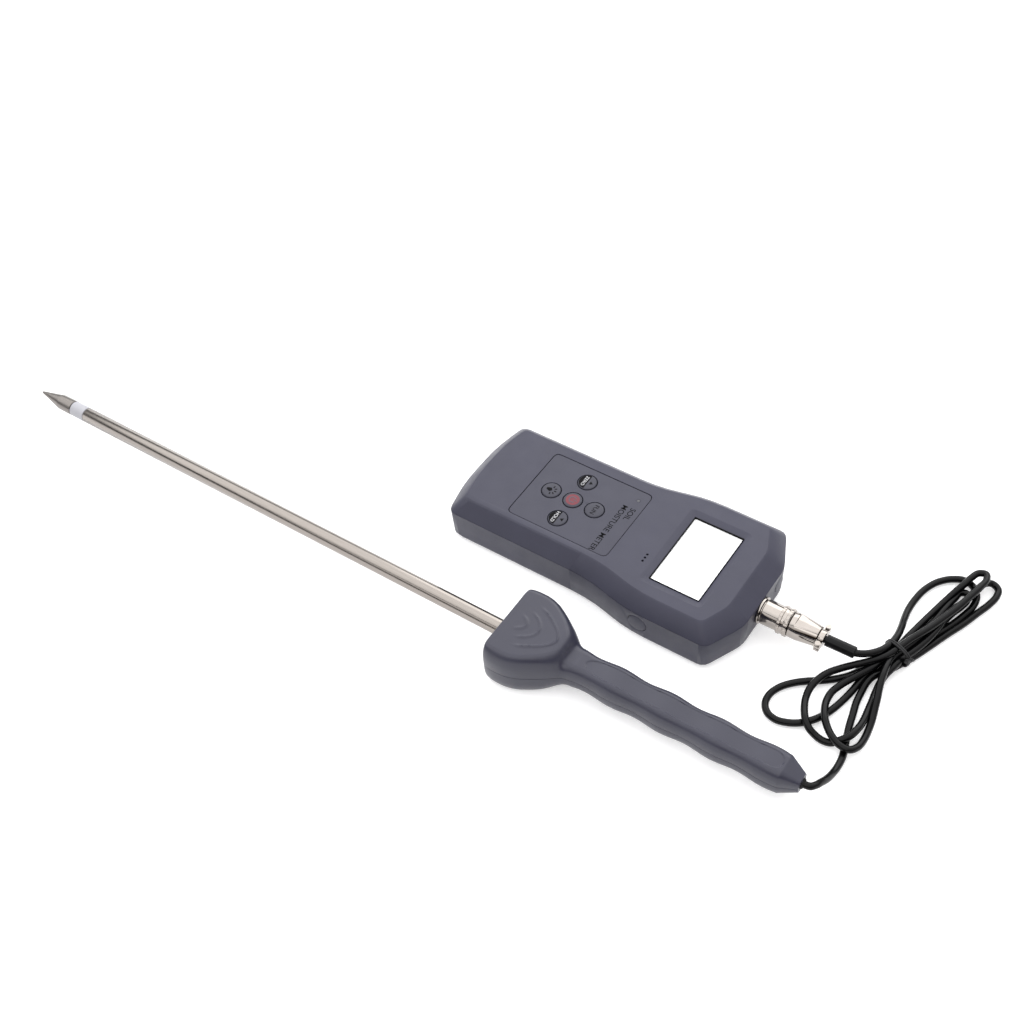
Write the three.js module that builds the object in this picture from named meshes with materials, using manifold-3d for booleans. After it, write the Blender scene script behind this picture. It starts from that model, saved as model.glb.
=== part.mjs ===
// Soil moisture meter: a handheld meter joined by a lead to a long stab probe with a moulded handle.
// Millimetres, +Z up. The pieces are laid out from the meter's keypad end and its centre line, and the
// whole set is then shifted so that the origin is under the middle of the meter and probe.
import * as THREE from 'three';
import { mergeVertices } from 'three/addons/utils/BufferGeometryUtils.js';
import Module from 'manifold-3d';

const wasm = await Module();
wasm.setup();

// ---- driving dimensions ----
const ORIGIN_X = -12.5;
const ORIGIN_Y = -29.35;
const GAP = 0.3; // air left between pieces that touch
const METER_LENGTH = 163.4;
const METER_END_X = 162.4;
const KEYPAD_HALF = 33.9;
const HEAD_HALF = 39.9;
const TOP_Z = 26.8;
const PARTING_Z = 19.2;
const SLOPE = 6.6; // run of the sloped edge from the parting line to the top face
const END_SLOPE = 9; // the same, at the connector end
const WALL = 2.4;
const FLOOR_Z = 3.4;
const CEILING_Z = 24.4;
const FACE_Y = -1.2; // centre line of the keypad and window on the top face
const WINDOW = { x0: 113, x1: 140, y0: FACE_Y - 22, y1: FACE_Y + 22, depth: 1.6 };
const OVERLAY = { x0: 32.1, x1: 89.5, y0: FACE_Y - 22.7, y1: FACE_Y + 22.7, depth: 1.0 };
const BUTTON_X = 56.4;
const BUTTON_PITCH_X = 12.6;
const BUTTON_PITCH_Y = 13.6;
const BUTTON_R = 4.8;
const SIDE_PORT = { x: 116.4, y: -38.6, z: 11.7 }; // blanked opening in the near wall
const END_PORT_Y = 15.5; // blanked opening in the connector end
const LIGHT = [84.3, 15.1, 0];
const SOUND_HOLES = { x: 105.5, rows: [-11.8, -14, -16.2], radius: 0.65 };
const CELL_ROWS = [-16.8, -5.6, 5.6, 16.8];
const CELL_Z = 8.5;
const PLUG_Y = -2.4;
const PLUG_Z = 12;
const PROBE_Y = -76.3;
const PROBE_Z = 13;
const TUBE_R = 4.2;
const CORD_D = 3.5;

const group = new THREE.Group();

// ---- materials ----
const paint = (hex, roughness, metalness = 0) =>
  new THREE.MeshStandardMaterial({ color: hex, roughness, metalness });
const SLATE = paint(0x4b4f5e, 0.55);
const BLACK = paint(0x17181a, 0.5);
const WHITE = paint(0xf2f3f3, 0.4);
const NICKEL = paint(0xd8d2c8, 0.22, 1);
const STEEL = paint(0xb9aea0, 0.3, 1);
const DARK_STEEL = paint(0x57534f, 0.4, 1);
const BOARD = paint(0x1c5a36, 0.6);
const RED = paint(0xc8303c, 0.5);
const GREY = paint(0x5a5e6b, 0.55);
const RUBBER = paint(0x2a2b2e, 0.8);
const CELL = paint(0x2e4b73, 0.35, 0.3);

// ---- solid helpers ----
function solidOf(geometry) {
  const bare = geometry.clone();
  bare.deleteAttribute('normal');
  bare.deleteAttribute('uv');
  const merged = mergeVertices(bare, 1e-4);
  return new wasm.Manifold(new wasm.Mesh({
    numProp: 3,
    vertProperties: Float32Array.from(merged.attributes.position.array),
    triVerts: Uint32Array.from(merged.index.array),
  }));
}

function geometryOf(manifold) {
  const mesh = manifold.getMesh();
  const geometry = new THREE.BufferGeometry();
  geometry.setAttribute('position', new THREE.Float32BufferAttribute(mesh.vertProperties, 3));
  geometry.setIndex(Array.from(mesh.triVerts));
  geometry.computeVertexNormals();
  return geometry;
}

const join = (...parts) => wasm.Manifold.union(parts);
const cut = (body, ...tools) => wasm.Manifold.difference([body, ...tools]);

function box(x0, x1, y0, y1, z0, z1) {
  const shape = new THREE.BoxGeometry(x1 - x0, y1 - y0, z1 - z0);
  return solidOf(shape.translate((x0 + x1) / 2, (y0 + y1) / 2, (z0 + z1) / 2));
}

// A solid of revolution; profile points are [radius, distance along the axis].
function turned(profile, axis, centre, segments = 24) {
  const shape = new THREE.LatheGeometry(profile.map(([r, h]) => new THREE.Vector2(r, h)), segments);
  if (axis === 'x') shape.rotateZ(-Math.PI / 2);
  if (axis === 'z') shape.rotateX(Math.PI / 2);
  return outward(shape.translate(...centre));
}

function outward(geometry) {
  const body = solidOf(geometry);
  if (body.volume() > 0) return body;
  const index = geometry.index.array;
  for (let i = 0; i < index.length; i += 3) [index[i], index[i + 1]] = [index[i + 1], index[i]];
  return solidOf(geometry);
}

const rod = (axis, centre, radius, from, to, segments = 24) =>
  turned([[0, from], [radius, from], [radius, to], [0, to]], axis, centre, segments);
const ring = (axis, centre, outer, inner, from, to, segments = 24) =>
  turned([[inner, from], [outer, from], [outer, to], [inner, to], [inner, from]], axis, centre, segments);

// A plate of any outline, standing between two heights.
function plate(points, z0, z1) {
  const shape = new THREE.Shape(points.map(([x, y]) => new THREE.Vector2(x, y)));
  const solid = new THREE.ExtrudeGeometry(shape, { depth: z1 - z0, bevelEnabled: false, curveSegments: 6 });
  return solidOf(solid.translate(0, 0, z0));
}

// Rounds each corner [x, y, cut] of a closed outline with a short curve.
function rounded(corners, steps = 4) {
  const points = [];
  corners.forEach(([x, y, trim], i) => {
    const [px, py] = corners[(i + corners.length - 1) % corners.length];
    const [nx, ny] = corners[(i + 1) % corners.length];
    const here = new THREE.Vector2(x, y);
    const before = new THREE.Vector2(px, py).sub(here).setLength(trim).add(here);
    const after = new THREE.Vector2(nx, ny).sub(here).setLength(trim).add(here);
    const curve = new THREE.QuadraticBezierCurve(before, here, after);
    curve.getPoints(steps).forEach((p) => points.push([p.x, p.y]));
  });
  return points;
}

const roundedBox = (x0, x1, y0, y1, trim, steps = 3) =>
  rounded([[x0, y0, trim], [x1, y0, trim], [x1, y1, trim], [x0, y1, trim]], steps);

// Skins a stack of closed loops, each with the same number of points, and caps both ends.
function loft(loops) {
  const count = loops[0].length;
  const vertices = loops.flat();
  const index = [];
  for (let k = 0; k + 1 < loops.length; k += 1) {
    for (let i = 0; i < count; i += 1) {
      const a = k * count + i;
      const b = k * count + ((i + 1) % count);
      index.push(a, b, b + count, a, b + count, a + count);
    }
  }
  const flat = (loop) => {
    const across = Math.abs(loop[0][0] - loop[2][0]) + Math.abs(loop[0][0] - loop[5][0]) < 1e-6;
    return loop.map(([x, y, z]) => (across ? new THREE.Vector2(y, z) : new THREE.Vector2(x, y)));
  };
  const last = (loops.length - 1) * count;
  for (const [a, b, c] of THREE.ShapeUtils.triangulateShape(flat(loops[0]), [])) index.push(c, b, a);
  for (const [a, b, c] of THREE.ShapeUtils.triangulateShape(flat(loops.at(-1)), [])) {
    index.push(last + a, last + b, last + c);
  }
  const geometry = new THREE.BufferGeometry();
  geometry.setAttribute('position', new THREE.Float32BufferAttribute(vertices.flat(), 3));
  geometry.setIndex(index);
  return outward(geometry);
}

function add(name, body, material) {
  const geometry = geometryOf(body).translate(-ORIGIN_X, -ORIGIN_Y, 0);
  const mesh = new THREE.Mesh(geometry, material);
  mesh.name = name;
  group.add(mesh);
}

// ---- meter outline ----
// Near half of the outline, keypad end first: [x, y, corner trim, end that an inset moves away from].
const PARTING_HALF = [
  [METER_END_X - METER_LENGTH, -14, 9, 1],
  [3.2, -KEYPAD_HALF, 4, 1],
  [86, -KEYPAD_HALF, 11, 0],
  [109, -HEAD_HALF, 11, 0],
  [153, -HEAD_HALF, 3.5, -1],
  [METER_END_X, -20, 4, -1],
];
const RIDGE_HALF = [
  [SLOPE - 0.6, -13, 9, 1],
  [9.3, -KEYPAD_HALF + SLOPE, 3, 1],
  [89, -KEYPAD_HALF + SLOPE, 11, 0],
  [112, -HEAD_HALF + SLOPE, 11, 0],
  [147.3, -HEAD_HALF + SLOPE, 2.5, -1],
  [METER_END_X - END_SLOPE, -19.5, 3.5, -1],
];

function meterLoop(half, inset, z) {
  const near = half.map(([x, y, trim, end]) => [x + end * inset, y + inset, trim]);
  const far = near.map(([x, y, trim]) => [x, -y, trim]).reverse();
  return rounded([...near, ...far], 3).map(([x, y]) => [x, y, z]);
}

const HOUSING_SCREWS = [[66, -28.2], [66, 28.2], [147, -27], [147, 27]];

function buttonPlaces() {
  return {
    button_power: [0, 0],
    button_backlight: [-1, 0],
    button_function: [1, 0],
    button_up: [0, 1],
    button_down: [0, -1],
  };
}

const buttonCentre = ([ix, iy]) => [BUTTON_X + ix * BUTTON_PITCH_X, FACE_Y + iy * BUTTON_PITCH_Y];

function frontHousing() {
  const outer = loft([
    meterLoop(PARTING_HALF, 0, PARTING_Z),
    meterLoop(RIDGE_HALF, -0.5, TOP_Z - 0.6),
    meterLoop(RIDGE_HALF, 0.4, TOP_Z),
  ]);
  const inner = loft([
    meterLoop(PARTING_HALF, WALL, PARTING_Z - 1),
    meterLoop(PARTING_HALF, WALL, PARTING_Z),
    meterLoop(RIDGE_HALF, 1.2, CEILING_Z),
  ]);
  const bosses = HOUSING_SCREWS.map(([x, y]) => rod('z', [x, y, 0], 3.4, PARTING_Z, CEILING_Z + 0.2, 16));
  const overlay = plate(
    roundedBox(OVERLAY.x0, OVERLAY.x1, OVERLAY.y0, OVERLAY.y1, 3),
    TOP_Z - OVERLAY.depth,
    TOP_Z + 1,
  );
  const window = plate(roundedBox(WINDOW.x0, WINDOW.x1, WINDOW.y0, WINDOW.y1, 1), CEILING_Z - 1, TOP_Z + 1);
  const dish = loft([[0, TOP_Z - 0.9], [4.2, TOP_Z + 0.1]].map(([grow, z]) =>
    roundedBox(WINDOW.x0 - grow, WINDOW.x1 + grow * 0.8, WINDOW.y0 - grow, WINDOW.y1 + grow, 1 + grow * 0.5)
      .map(([x, y]) => [x, y, z])));
  const buttonHoles = Object.values(buttonPlaces()).map((place) =>
    rod('z', [...buttonCentre(place), 0], BUTTON_R + 0.35, CEILING_Z - 1, TOP_Z + 1));
  const soundHoles = SOUND_HOLES.rows.map((y) =>
    rod('z', [SOUND_HOLES.x, y, 0], SOUND_HOLES.radius, CEILING_Z - 1, TOP_Z + 1, 10));
  const lightHole = rod('z', LIGHT, 0.9, CEILING_Z - 1, TOP_Z + 1, 10);
  const pilots = HOUSING_SCREWS.map(([x, y]) => rod('z', [x, y, 0], 1.6, PARTING_Z - 1, CEILING_Z - 0.6, 12));
  return cut(outer, cut(inner, ...bosses), overlay, window, dish, ...buttonHoles, ...soundHoles,
    lightHole, ...pilots);
}

const DOOR = { x0: 3.4, x1: 59.6, half: 25.4, taper: 1, top: 1.9 };
const BAY = { x0: 8, x1: 56.8, half: 23.2 };

function doorSection(x0, x1, half, z0, z1, taper) {
  const loops = [x0, x1].map((x) => [
    [x, -half + taper, z0], [x, half - taper, z0], [x, half, z1],
    [x, 0, z1], [x, -half, z1], [x, -half, z1 - 0.01],
  ]);
  return loft(loops);
}

function rearHousing() {
  const outer = loft([
    meterLoop(PARTING_HALF, 3.6, 0),
    meterLoop(PARTING_HALF, 1.5, 0.9),
    meterLoop(PARTING_HALF, 0.4, 3.2),
    meterLoop(PARTING_HALF, 0, PARTING_Z - GAP),
  ]);
  const inner = loft([
    meterLoop(PARTING_HALF, WALL + 0.5, FLOOR_Z),
    meterLoop(PARTING_HALF, WALL, PARTING_Z + 1),
  ]);
  const columns = HOUSING_SCREWS.map(([x, y]) => rod('z', [x, y, 0], 3.8, 1, PARTING_Z - GAP, 16));
  const recess = doorSection(-5, DOOR.x1 + GAP, DOOR.half + GAP, -0.4, DOOR.top + GAP, DOOR.taper);
  const bay = box(BAY.x0, BAY.x1, -BAY.half, BAY.half, 1, FLOOR_Z + 1);
  const screwHoles = HOUSING_SCREWS.flatMap(([x, y]) => [
    rod('z', [x, y, 0], 1.7, -1, PARTING_Z + 1, 12),
    rod('z', [x, y, 0], 3.0, -1, 2.9, 16),
  ]);
  const socketHole = rod('x', [0, PLUG_Y, PLUG_Z], 6.3, METER_END_X - 8, METER_END_X + 1);
  const sideRecess = sideDisc(5.2, 0, 3);
  const endRecess = rod('x', [0, END_PORT_Y, PLUG_Z], 4.2, METER_END_X - 1.1, METER_END_X + 1);
  return cut(outer, cut(inner, ...columns), recess, bay, ...screwHoles, socketHole, sideRecess, endRecess);
}

// A disc facing the near side, at the side port.
function sideDisc(radius, from, to) {
  const disc = rod('z', [0, 0, 0], radius, from, to).rotate([90, 0, 0]);
  return disc.translate([SIDE_PORT.x, SIDE_PORT.y, SIDE_PORT.z]);
}

// ---- meter pieces ----
function meterShells() {
  add('front_housing', frontHousing(), SLATE);
  add('rear_housing', rearHousing(), SLATE);
  add('side_port_plug', sideDisc(4.9, 0.2, 1.1), SLATE);
  add('end_port_plug', rod('x', [0, END_PORT_Y, PLUG_Z], 3.9, METER_END_X - 0.9, METER_END_X - 0.05), SLATE);
  const door = doorSection(DOOR.x0, DOOR.x1, DOOR.half, 0.25, DOOR.top, DOOR.taper);
  const grips = [0, 1, 2].map((i) => box(48 + i * 3, 49.4 + i * 3, -9, 9, -0.5, 0.7));
  add('battery_door', cut(door, ...grips), SLATE);
  HOUSING_SCREWS.forEach(([x, y], i) => {
    const profile = [[0, 0.8], [2.6, 0.8], [2.6, 2.5], [1.4, 2.6], [1.4, 21.5], [0, 22.6]];
    const screw = turned(profile, 'z', [x, y, 0], 14);
    const slots = [[1.6, 0.3], [0.3, 1.6]].map(([a, b]) => box(x - a, x + a, y - b, y + b, 0, 1.6));
    add(`housing_screw_${i + 1}`, cut(screw, ...slots), DARK_STEEL);
  });
}

function keypad() {
  const holes = Object.values(buttonPlaces()).map((place) =>
    rod('z', [...buttonCentre(place), 0], BUTTON_R + 0.45, TOP_Z - 3, TOP_Z + 1));
  const lightHole = rod('z', LIGHT, 0.9, TOP_Z - 3, TOP_Z + 1, 10);
  const inset = 0.35;
  const sheet = plate(
    roundedBox(OVERLAY.x0 + inset, OVERLAY.x1 - inset, OVERLAY.y0 + inset, OVERLAY.y1 - inset, 2.8),
    TOP_Z - OVERLAY.depth + 0.1,
    TOP_Z - 0.1,
  );
  add('keypad_overlay', cut(sheet, ...holes, lightHole), SLATE);
  const rim = BUTTON_R;
  const profile = [
    [0, 22.8], [rim + 0.9, 22.8], [rim + 0.9, 23.7], [rim, 23.7], [rim, TOP_Z - 0.1], [rim - 0.6, TOP_Z + 0.25],
    [0, TOP_Z + 0.35],
  ];
  Object.entries(buttonPlaces()).forEach(([name, place]) => {
    add(name, turned(profile, 'z', [...buttonCentre(place), 0]), name === 'button_power' ? RED : GREY);
  });
  const domes = Object.values(buttonPlaces()).map((place) =>
    turned([[0, 20], [3.6, 20], [2.6, 22], [0, 22]], 'z', [...buttonCentre(place), 0], 16));
  const mat = box(BUTTON_X - 19, BUTTON_X + 19, FACE_Y - 19, FACE_Y + 19, 19.5, 20.3);
  add('switch_mat', join(mat, ...domes), RUBBER);
  add('indicator_light', rod('z', LIGHT, 0.75, 21, TOP_Z - 0.15, 12), WHITE);
}

function electronics() {
  add('main_board', box(9, 142, -22.6, 22.6, 17.4, 19.0), BOARD);
  const frame = box(110, 143, WINDOW.y0 - 2, WINDOW.y1 + 2, 19.4, 24.0);
  add('display_frame', cut(frame, box(112.4, 140.6, WINDOW.y0 - 0.4, WINDOW.y1 + 0.4, 20.6, 25)), BLACK);
  const panel = box(112.8, 140.2, WINDOW.y0, WINDOW.y1, 20.9, 24.0);
  add('display_panel', panel, GREY);
  const lens = roundedBox(WINDOW.x0 + 0.15, WINDOW.x1 - 0.15, WINDOW.y0 + 0.15, WINDOW.y1 - 0.15, 0.9);
  add('display_window', plate(lens, 24.3, TOP_Z - WINDOW.depth), WHITE);
  add('beeper', ring('z', [104.2, -14, 0], 5, 1, 19.3, 23.6, 20), BLACK);
}

function batteries() {
  const tray = box(6.4, 58.4, -25, 25, FLOOR_Z + GAP, 15.1);
  add('battery_tray', cut(tray, box(BAY.x0, BAY.x1, -23.4, 23.4, 0, 13.9)), BLACK);
  CELL_ROWS.forEach((y, i) => {
    const profile = [[0, -22], [5.15, -22], [5.15, 21.2], [1.9, 21.3], [1.9, 22.2], [0, 22.2]];
    const cell = turned(profile, 'x', [0, 0, 0], 20);
    const turnedRound = i % 2 ? cell.rotate([0, 0, 180]) : cell;
    add(`battery_${i + 1}`, turnedRound.translate([32.4, y, CELL_Z]), CELL);
  });
  const strip = (x0, x1, springX0, springX1) => {
    const springs = CELL_ROWS.map((y) => rod('x', [0, y, CELL_Z], 2.4, springX0, springX1, 12));
    return join(box(x0, x1, -22, 22, 4.2, 13), ...springs);
  };
  add('contact_strip_end', strip(8.3, 8.8, 8.7, 9.8), NICKEL);
  add('contact_strip_inner', strip(56, 56.5, 55, 56.1), NICKEL);
}

// ---- panel socket and plug ----
function connector() {
  const centre = [0, PLUG_Y, PLUG_Z];
  const wall = METER_END_X;
  const socket = turned([
    [4.5, 152], [5.3, 152], [5.3, 159.2], [6, 159.4], [6, wall + 0.2], [6.9, wall + 0.2], [6.9, wall + 1.2],
    [5.1, wall + 1.2], [5.1, 170.5], [4.5, 170.5], [4.5, 152],
  ], 'x', centre);
  add('socket_body', socket, NICKEL);
  add('socket_nut', cut(rod('x', centre, 7, 156, 158.8, 6), rod('x', centre, 5.5, 150, 160)), NICKEL);
  const pins = [0, 1, 2].map((i) => {
    const turn = (i * 2 * Math.PI) / 3;
    return rod('x', [0, PLUG_Y + 2.2 * Math.cos(turn), PLUG_Z + 2.2 * Math.sin(turn)], 0.6, 157, 168, 8);
  });
  add('socket_insert', join(rod('x', centre, 4.3, 153, 162), ...pins), BLACK);
  const ringBody = turned([
    [5.5, 164.2], [6.0, 164.2], [6.3, 164.6], [6.3, 172.7], [7.1, 173], [7.1, 174.3], [6.7, 174.5],
    [6.7, 176.1], [7.1, 176.3], [7.1, 177.8], [6.6, 178.2], [5.5, 178.2], [5.5, 164.2],
  ], 'x', centre, 36);
  const notches = Array.from({ length: 18 }, (_, i) => {
    const turn = (i * 2 * Math.PI) / 18;
    return rod('x', [0, PLUG_Y + 7.3 * Math.cos(turn), PLUG_Z + 7.3 * Math.sin(turn)], 0.4, 172.5, 178.5, 6);
  });
  add('coupling_ring', cut(ringBody, ...notches), NICKEL);
  const shell = turned([
    [4.0, 171], [5.0, 171], [5.0, 178.5], [6.2, 178.5], [6.4, 179], [6.4, 182.6], [5.1, 192.4], [2.4, 192.4],
    [2.4, 185], [4.0, 181], [4.0, 171],
  ], 'x', centre, 32);
  const flats = [-1, 1].map((side) => {
    const z = PLUG_Z + side * 8;
    return box(181.2, 188, PLUG_Y - 8, PLUG_Y + 8, z - 2.6, z + 2.6);
  });
  add('plug_shell', cut(shell, ...flats), NICKEL);
  add('plug_insert', ring('x', centre, 3.7, 3.1, 168.4, 178), BLACK);
  const clampX = 192.8;
  const clampEndX = 195.4;
  const screwX = (clampX + clampEndX) / 2;
  [1, -1].forEach((side) => {
    const z = PLUG_Z + side * 0.2;
    const half = join(
      ring('x', centre, 4.3, 2.1, clampX, clampEndX, 20),
      box(clampX, clampEndX, PLUG_Y - 7, PLUG_Y + 7, PLUG_Z - 1.6, PLUG_Z + 1.6),
    );
    const keep = side > 0 ? box(190, 200, -20, 20, z, 30) : box(190, 200, -20, 20, 0, z);
    const hole = rod('x', centre, 2.1, 190, 200, 16);
    const holes = [-5.6, 5.6].map((y) => rod('z', [screwX, PLUG_Y + y, 0], 0.75, 0, 30, 10));
    add(side > 0 ? 'cord_clamp_top' : 'cord_clamp_base', cut(half.intersect(keep), hole, ...holes), NICKEL);
  });
  [-5.6, 5.6].forEach((y, i) => {
    const profile = [[0, -3], [0.6, -3], [0.6, 1.8], [1.35, 1.8], [1.35, 2.9], [0, 2.9]];
    add(`clamp_screw_${i + 1}`, turned(profile, 'z', [screwX, PLUG_Y + y, PLUG_Z], 12), NICKEL);
  });
}

// ---- cord ----
// A tube of eight sides along a smooth curve through points placed by hand.
function cordTube(points, steps) {
  const curve = new THREE.CatmullRomCurve3(points.map((p) => new THREE.Vector3(...p)), false, 'centripetal');
  const section = new THREE.Shape();
  for (let i = 0; i < 8; i += 1) {
    const turn = (i * Math.PI) / 4;
    const corner = [(CORD_D / 2) * Math.cos(turn), (CORD_D / 2) * Math.sin(turn)];
    if (i) section.lineTo(...corner);
    else section.moveTo(...corner);
  }
  section.closePath();
  return outwardTube(new THREE.ExtrudeGeometry(section, { steps, extrudePath: curve, bevelEnabled: false }));
}

function outwardTube(geometry) {
  return outward(mergeVertices(geometry.deleteAttribute('normal').deleteAttribute('uv'), 1e-4));
}

// Outline of the tied bundle: two fans of loops with a narrow waist where the tie is.
const BUNDLE_OUTLINE = [
  [214.6, 12.4, 1], [217.4, 21, 4], [214.8, 40, 6], [215, 60, 6], [222, 73, 5], [233, 79.5, 5], [247, 79, 4],
  [252.5, 72, 3], [251, 58, 5], [240, 30, 6], [231, 12, 4], [227.5, 0, 4], [231, -16, 4], [233.8, -38, 4],
  [230, -48.6, 3], [212, -48.6, 4], [190, -49.6, 5], [183.2, -42, 4], [183.4, -30, 4], [194, -19, 5],
  [206, -6, 4], [213.5, 4.5, 2],
];
const BUNDLE_TOP_Z = 7.2;
const WAIST_OUTLINE = [[216, 6, 2], [219.6, 24, 4], [232, 25, 4], [235.4, 9, 4], [229, -6, 4], [220, -6, 3]];
const WAIST_TOP_Z = 10.6;

function cord() {
  const sleeve = turned([
    [2.9, 0], [2.9, 13.8], [2.6, 14.2], [1.95, 14.2], [1.95, 0], [2.9, 0],
  ], 'x', [0, 0, 0], 16);
  add('shrink_sleeve', sleeve.rotate([0, 4, 4]).translate([196.1, PLUG_Y + 0.13, PLUG_Z - 0.13]), RUBBER);
  add('cord_lead_meter', cordTube([
    [191.8, -2.57, 12.17], [196, -2.27, 11.87], [203, -1.78, 11.38], [210.3, -1.27, 10.87],
    [214, 1, 10.3], [215.6, 2.6, 10.05],
  ], 10), RUBBER);
  const fans = plate(rounded(BUNDLE_OUTLINE, 3), 0, BUNDLE_TOP_Z);
  const waist = plate(rounded(WAIST_OUTLINE, 3), 0, WAIST_TOP_Z);
  add('cord_bundle', join(fans, waist), RUBBER);
  add('cord_lead_probe', cordTube([
    [223.1, PROBE_Y, PROBE_Z], [224.9, -75.8, 12.8], [226.4, -73.6, 11.9], [227.4, -70, 10],
    [228.2, -65.6, 7.2], [228.5, -60.3, 4.2], [228.6, -54.5, 2.4], [228.2, -49.4, 1.9],
  ], 16), RUBBER);
}

function tie() {
  const band = plate(roundedBox(-8.4, 8.4, -1, 1, 0.8), WAIST_TOP_Z + GAP, WAIST_TOP_Z + 1.6);
  add('twist_tie', band.rotate([0, 0, -20]).translate([225.2, 12, 0]), BLACK);
}

// ---- probe ----
// Cross-sections of the guard and the neck along X:
// [x, half width of the flat top, half width at mid height, height of the top, height of the underside].
const GUARD_SECTIONS = [
  [67.9, 15.6, 19.8, 25.2, 0.8],
  [69, 17.2, 21.4, 26, 0],
  [73, 17.9, 22.3, 26, 0],
  [79, 17.8, 22.2, 26, 0],
  [84, 16.4, 21, 26, 0],
  [88, 14.5, 19.2, 26, 0],
  [92, 11.9, 16.9, 26, 0],
  [95.5, 9.1, 14.6, 25.8, 0.2],
  [98.5, 6.8, 12.6, 25.2, 0.9],
  [101, 5.3, 11.1, 24.2, 2],
  [103.5, 4.4, 9.9, 22.8, 3.4],
  [106, 3.9, 8.9, 21.6, 4.5],
  [109, 3.7, 8.2, 20.9, 5.1],
];
const GRIP_START_X = 112;
const GRIP_END_X = 213;
const HANDLE_END_X = 221.5;
// One quarter of a section: share of the way out from the flat to the full width, share of the half height.
const SHOULDER = [[0, 1], [0.38, 0.955], [0.72, 0.8], [0.93, 0.55], [1, 0.28]];

function handleLoop([x, flat, half, top, bottom]) {
  const quarter = (side, height) => SHOULDER.map(([out, up]) =>
    [x, PROBE_Y + side * (flat + out * (half - flat)), PROBE_Z + (height - PROBE_Z) * up]);
  return [
    ...quarter(1, bottom), ...quarter(1, top).reverse(), ...quarter(-1, top), ...quarter(-1, bottom).reverse(),
  ];
}

// The grip swells and narrows along its length for the fingers.
const gripRadius = (x) => 7.9 + 0.4 * Math.cos(((x - 128) * 2 * Math.PI) / 26);
const gripSection = (x, radius) => [x, 0.47 * radius, radius, PROBE_Z + radius, PROBE_Z - radius];

function handleBody() {
  const count = 32;
  const step = (GRIP_END_X - GRIP_START_X) / count;
  const grip = Array.from({ length: count + 1 }, (_, i) => GRIP_START_X + i * step)
    .map((x) => gripSection(x, gripRadius(x)));
  return loft([...GUARD_SECTIONS, ...grip, gripSection(HANDLE_END_X, 3.9)].map(handleLoop));
}

const HANDLE_SCREWS = [[75, -13], [75, 13]];

function handle() {
  const centre = [0, PROBE_Y, PROBE_Z];
  const hollow = [
    rod('x', centre, TUBE_R + 0.15, 60, 78),
    rod('x', centre, 6, 77.5, 211),
    rod('x', centre, 2.9, 210, 226, 20),
  ];
  const screws = HANDLE_SCREWS.flatMap(([x, y]) => [
    rod('z', [x, PROBE_Y + y, 0], 1.4, -1, 20, 12),
    rod('z', [x, PROBE_Y + y, 0], 2.6, -1, 4.2, 14),
  ]);
  const body = cut(handleBody(), ...hollow, ...screws);
  const split = PROBE_Z;
  add('handle_upper', body.intersect(box(50, 230, -120, -40, split + GAP / 2, 40)), SLATE);
  add('handle_lower', body.intersect(box(50, 230, -120, -40, -5, split - GAP / 2)), SLATE);
  HANDLE_SCREWS.forEach(([x, y], i) => {
    const profile = [[0, 2], [2.3, 2], [2.3, 3.9], [1.2, 4], [1.2, 18], [0, 19]];
    add(`handle_screw_${i + 1}`, turned(profile, 'z', [x, PROBE_Y + y, 0], 14), DARK_STEEL);
  });
  add('sensor_board', box(90, 176, PROBE_Y - 5, PROBE_Y + 5, PROBE_Z - 0.8, PROBE_Z + 0.8), BOARD);
  const grommet = [[0, 206.4], [5.4, 206.4], [5.4, 210], [2.6, 210.3], [2.6, 221.8], [2.3, 222.4], [0, 222.4]];
  add('cord_grommet', turned(grommet, 'x', centre, 20), RUBBER);
}

function probe() {
  const centre = [0, PROBE_Y, PROBE_Z];
  add('probe_tube', ring('x', centre, TUBE_R, 3.7, -211.6, 77), STEEL);
  add('inner_sleeve', ring('x', centre, 3.5, 1.8, -211.3, 80, 16), WHITE);
  add('insulator_ring', ring('x', centre, TUBE_R, 1.8, -221.6, -211.9), WHITE);
  const tip = turned([
    [0, -247.4], [0.35, -247.1], [TUBE_R, -231.4], [TUBE_R, -221.9], [1.8, -221.9], [1.8, -229.6], [0, -230.6],
  ], 'x', centre);
  add('probe_tip', tip, DARK_STEEL);
  add('core_rod', rod('x', centre, 1.5, -229.3, 88, 12), DARK_STEEL);
  add('tube_collar', ring('x', centre, 5.7, TUBE_R + 0.15, 78.2, 84), NICKEL);
}

meterShells();
keypad();
electronics();
batteries();
connector();
cord();
tie();
handle();
probe();

export default group;
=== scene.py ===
"""Soil moisture meter with its lead and stab probe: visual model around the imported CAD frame."""
import math

import bmesh
import bpy
from mathutils import Matrix, Vector


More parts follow.
